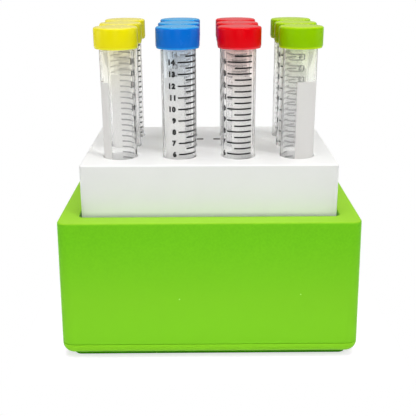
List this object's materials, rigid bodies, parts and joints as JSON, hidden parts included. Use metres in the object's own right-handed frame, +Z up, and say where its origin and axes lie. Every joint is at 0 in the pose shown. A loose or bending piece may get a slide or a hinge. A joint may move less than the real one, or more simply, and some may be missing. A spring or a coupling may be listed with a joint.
{
  "type": "pcr cooling rack",
  "caption": "Open foam box holding a white gel-filled block with conical wells, in which capped clear graduated tubes stand upright to stay cold.",
  "frame": {"origin": "on the bench, at the middle of the foam box's foot", "axes": "+X to the right along the long side, with the yellow column on the left; +Y towards the back; +Z up along the tubes"},
  "size_m": [0.1566, 0.1134, 0.1684],
  "materials": {
    "foam": "matte closed-cell moulded foam",
    "shell": "satin white moulded plastic",
    "plate": "satin white moulded plastic",
    "plug": "satin grey plastic",
    "gel": "set cooling gel",
    "tube": "clear polished plastic with printed scale",
    "cap_yellow": "semi-gloss moulded plastic",
    "cap_blue": "semi-gloss moulded plastic",
    "cap_red": "semi-gloss moulded plastic",
    "cap_green": "semi-gloss moulded plastic"
  },
  "bodies": {
    "rack": {"insulated_base": "foam", "rack_shell": "shell", "rack_bottom_plate": "plate", "fill_plug": "plug", "coolant_gel": "gel", "tube_yellow_front": "tube", "tube_yellow_middle": "tube", "tube_yellow_back": "tube", "tube_blue_front": "tube", "tube_blue_middle": "tube", "tube_blue_back": "tube", "tube_red_front": "tube", "tube_red_middle": "tube", "tube_red_back": "tube", "tube_green_front": "tube", "tube_green_middle": "tube", "tube_green_back": "tube"},
    "screw_cap_yellow_front": {"cap_yellow_front": "cap_yellow"},
    "screw_cap_yellow_middle": {"cap_yellow_middle": "cap_yellow"},
    "screw_cap_yellow_back": {"cap_yellow_back": "cap_yellow"},
    "screw_cap_blue_front": {"cap_blue_front": "cap_blue"},
    "screw_cap_blue_middle": {"cap_blue_middle": "cap_blue"},
    "screw_cap_blue_back": {"cap_blue_back": "cap_blue"},
    "screw_cap_red_front": {"cap_red_front": "cap_red"},
    "screw_cap_red_middle": {"cap_red_middle": "cap_red"},
    "screw_cap_red_back": {"cap_red_back": "cap_red"},
    "screw_cap_green_front": {"cap_green_front": "cap_green"},
    "screw_cap_green_middle": {"cap_green_middle": "cap_green"},
    "screw_cap_green_back": {"cap_green_back": "cap_green"}
  },
  "joints": [
    {"name": "unscrew_yellow_front", "type": "hinge", "parent": "rack", "child": "screw_cap_yellow_front", "pos_m": [-0.04627, -0.0233, 0.158], "axis": [0, 0, 1], "range_deg": [0, 450]},
    {"name": "unscrew_yellow_middle", "type": "hinge", "parent": "rack", "child": "screw_cap_yellow_middle", "pos_m": [-0.04627, 0, 0.158], "axis": [0, 0, 1], "range_deg": [0, 450]},
    {"name": "unscrew_yellow_back", "type": "hinge", "parent": "rack", "child": "screw_cap_yellow_back", "pos_m": [-0.04627, 0.0233, 0.158], "axis": [0, 0, 1], "range_deg": [0, 450]},
    {"name": "unscrew_blue_front", "type": "hinge", "parent": "rack", "child": "screw_cap_blue_front", "pos_m": [-0.01542, -0.0233, 0.158], "axis": [0, 0, 1], "range_deg": [0, 450]},
    {"name": "unscrew_blue_middle", "type": "hinge", "parent": "rack", "child": "screw_cap_blue_middle", "pos_m": [-0.01542, 0, 0.158], "axis": [0, 0, 1], "range_deg": [0, 450]},
    {"name": "unscrew_blue_back", "type": "hinge", "parent": "rack", "child": "screw_cap_blue_back", "pos_m": [-0.01542, 0.0233, 0.158], "axis": [0, 0, 1], "range_deg": [0, 450]},
    {"name": "unscrew_red_front", "type": "hinge", "parent": "rack", "child": "screw_cap_red_front", "pos_m": [0.01542, -0.0233, 0.158], "axis": [0, 0, 1], "range_deg": [0, 450]},
    {"name": "unscrew_red_middle", "type": "hinge", "parent": "rack", "child": "screw_cap_red_middle", "pos_m": [0.01542, 0, 0.158], "axis": [0, 0, 1], "range_deg": [0, 450]},
    {"name": "unscrew_red_back", "type": "hinge", "parent": "rack", "child": "screw_cap_red_back", "pos_m": [0.01542, 0.0233, 0.158], "axis": [0, 0, 1], "range_deg": [0, 450]},
    {"name": "unscrew_green_front", "type": "hinge", "parent": "rack", "child": "screw_cap_green_front", "pos_m": [0.04627, -0.0233, 0.158], "axis": [0, 0, 1], "range_deg": [0, 450]},
    {"name": "unscrew_green_middle", "type": "hinge", "parent": "rack", "child": "screw_cap_green_middle", "pos_m": [0.04627, 0, 0.158], "axis": [0, 0, 1], "range_deg": [0, 450]},
    {"name": "unscrew_green_back", "type": "hinge", "parent": "rack", "child": "screw_cap_green_back", "pos_m": [0.04627, 0.0233, 0.158], "axis": [0, 0, 1], "range_deg": [0, 450]}
  ]
}
